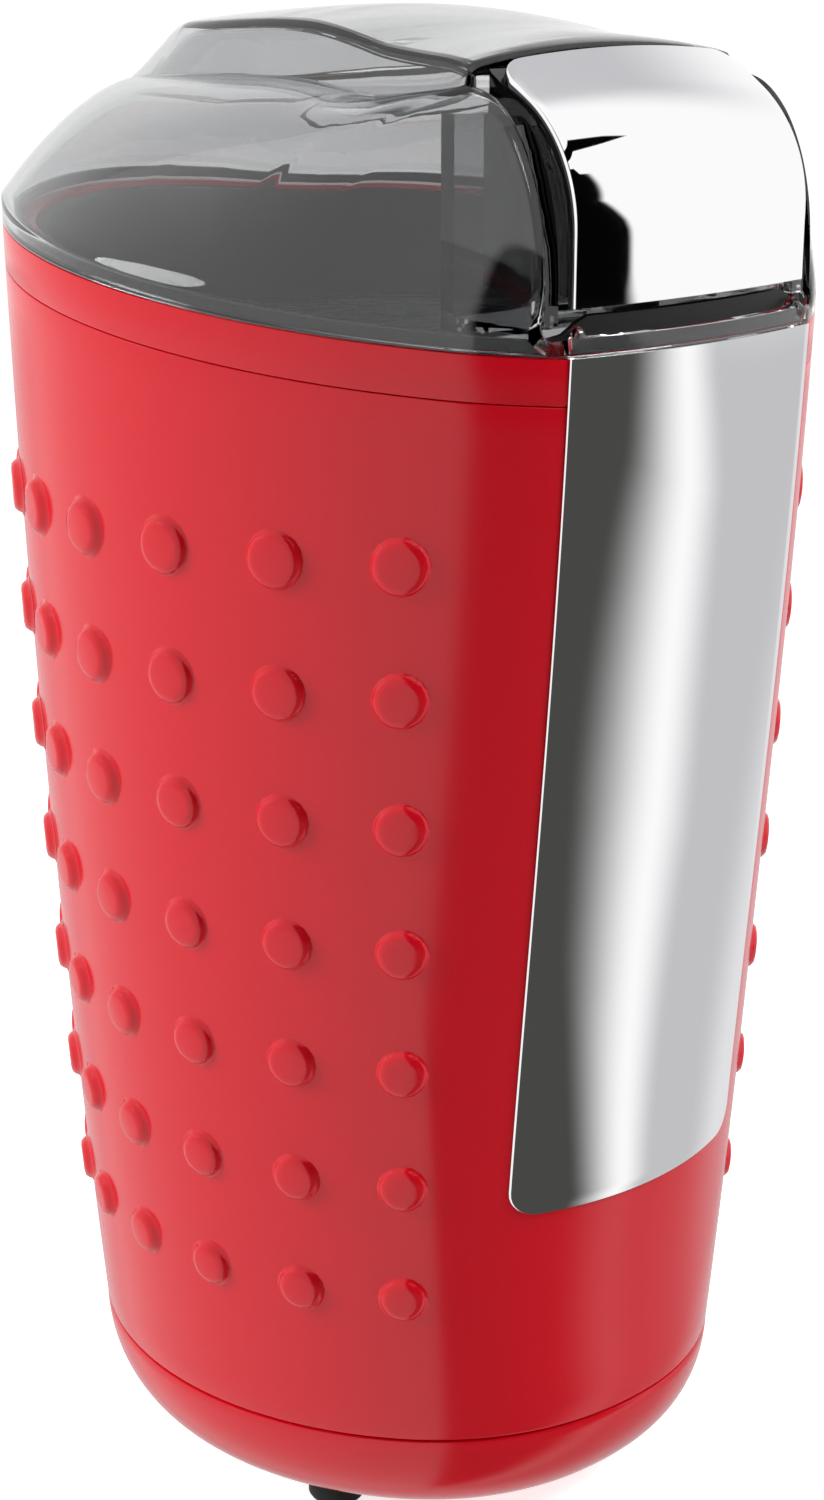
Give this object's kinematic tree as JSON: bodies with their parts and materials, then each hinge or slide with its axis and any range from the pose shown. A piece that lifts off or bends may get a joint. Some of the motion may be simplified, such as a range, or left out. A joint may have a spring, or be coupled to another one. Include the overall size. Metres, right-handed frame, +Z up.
{
  "type": "electric spice grinder",
  "caption": "Upright electric spice grinder with a tapered dotted body, bright front plate, steel bowl and blade, smoked clear lid and a push-down switch button in the lid.",
  "frame": {"origin": "centre of the bounding box's bottom face, on the plane the feet stand on", "axes": "+Z up; the front with the bright plate and the button faces -Y; +X is to the right when looking at the front"},
  "size_m": [0.0954, 0.1004, 0.1869],
  "materials": {
    "red_plastic": "soft satin moulding",
    "chrome_plate": "bright chromed cover",
    "black_rubber": "soft matt rubber",
    "screw_steel": "zinc plated",
    "bowl_steel": "stainless, finely brushed",
    "shaft_steel": "ground",
    "spring_steel": "drawn wire",
    "black_plastic": "fine matt moulding",
    "gloss_black": "polished moulding",
    "sheet_steel": "zinc plated sheet",
    "bronze": "sintered",
    "lamination_iron": "stacked sheet with a thin varnish",
    "copper_wire": "enamelled winding",
    "copper_bar": "turned copper",
    "brass": "pressed brass",
    "carbon": "pressed carbon",
    "fuse_body": "glazed sleeve",
    "lead_insulation": "soft insulation",
    "clear_lid": "smoked clear plastic, polished",
    "white_plastic": "plain moulding",
    "red_slider": "plain moulding"
  },
  "bodies": {
    "housing": {"housing_shell": "red_plastic", "top_collar": "red_plastic", "front_trim_plate": "chrome_plate", "base_cover": "red_plastic", "rubber_feet": "black_rubber", "base_screws": "screw_steel", "grinding_bowl": "bowl_steel", "bowl_gasket": "black_rubber", "bowl_screws": "screw_steel", "deck_tray": "black_plastic", "chassis_posts": "black_plastic", "upper_bearing_bracket": "sheet_steel", "upper_bush": "bronze", "motor_mount_bushes": "black_rubber", "post_screws": "screw_steel", "stator_core": "lamination_iron", "field_coil_front": "copper_wire", "field_coil_rear": "copper_wire", "stator_bolts": "screw_steel", "stator_nuts": "screw_steel", "lower_bearing_bracket": "sheet_steel", "lower_bush": "bronze", "spacer_sleeves": "screw_steel", "brush_holder_front": "brass", "brush_holder_rear": "brass", "carbon_brush_front": "carbon", "carbon_brush_rear": "carbon", "brush_springs": "spring_steel", "brush_caps": "black_plastic", "shaft_seal": "black_rubber", "pin_guide": "black_plastic", "switch_bracket": "sheet_steel", "microswitch_case": "black_plastic", "switch_terminals": "brass", "switch_screws": "screw_steel", "cord_gland": "black_rubber", "thermal_fuse": "fuse_body", "motor_leads": "lead_insulation", "pin_spring": "spring_steel"},
    "rotor": {"rotor_shaft": "shaft_steel", "armature_core": "lamination_iron", "armature_winding": "copper_wire", "commutator": "copper_bar", "cooling_fan": "black_plastic", "thrust_washers": "screw_steel", "blade_spacer": "screw_steel", "blade": "bowl_steel", "blade_nut": "screw_steel"},
    "lid": {"lid_shell": "clear_lid", "button_housing": "clear_lid", "button_springs": "spring_steel"},
    "button": {"press_button": "chrome_plate", "button_carrier": "gloss_black", "button_plunger": "white_plastic"},
    "pin": {"switch_pin": "white_plastic"},
    "lever": {"switch_lever": "sheet_steel"},
    "slider": {"switch_plunger": "red_slider"}
  },
  "joints": [
    {"name": "rotor_spin", "type": "hinge", "parent": "housing", "child": "rotor", "pos_m": [0, 0.0038, 0.1], "axis": [0, 0, 1], "continuous": true},
    {"name": "lid_lift", "type": "slide", "parent": "housing", "child": "lid", "axis": [0, 0, 1], "range_m": [0, 0.09]},
    {"name": "button_press", "type": "slide", "parent": "lid", "child": "button", "axis": [0, 0, -1], "range_m": [0, 0.0018], "stiffness_N_per_m": 1500, "springref_m": -0.001, "deforming": ["button_springs"]},
    {"name": "pin_press", "type": "slide", "parent": "housing", "child": "pin", "axis": [0, 0, -1], "range_m": [0, 0.0018], "deforming": ["pin_spring"]},
    {"name": "lever_tilt", "type": "hinge", "parent": "housing", "child": "lever", "pos_m": [-0.009, -0.0372, 0.1225], "axis": [0, 1, 0], "range_deg": [0, 11.4]},
    {"name": "slider_press", "type": "slide", "parent": "housing", "child": "slider", "axis": [0, 0, -1], "range_m": [0, 0.00092]}
  ],
  "couplings": [
    {"joint": "pin_press", "follows": "button_press", "ratio": 1},
    {"joint": "lever_tilt", "follows": "button_press", "rad_per_m": 109.66},
    {"joint": "slider_press", "follows": "button_press", "ratio": 0.5}
  ]
}
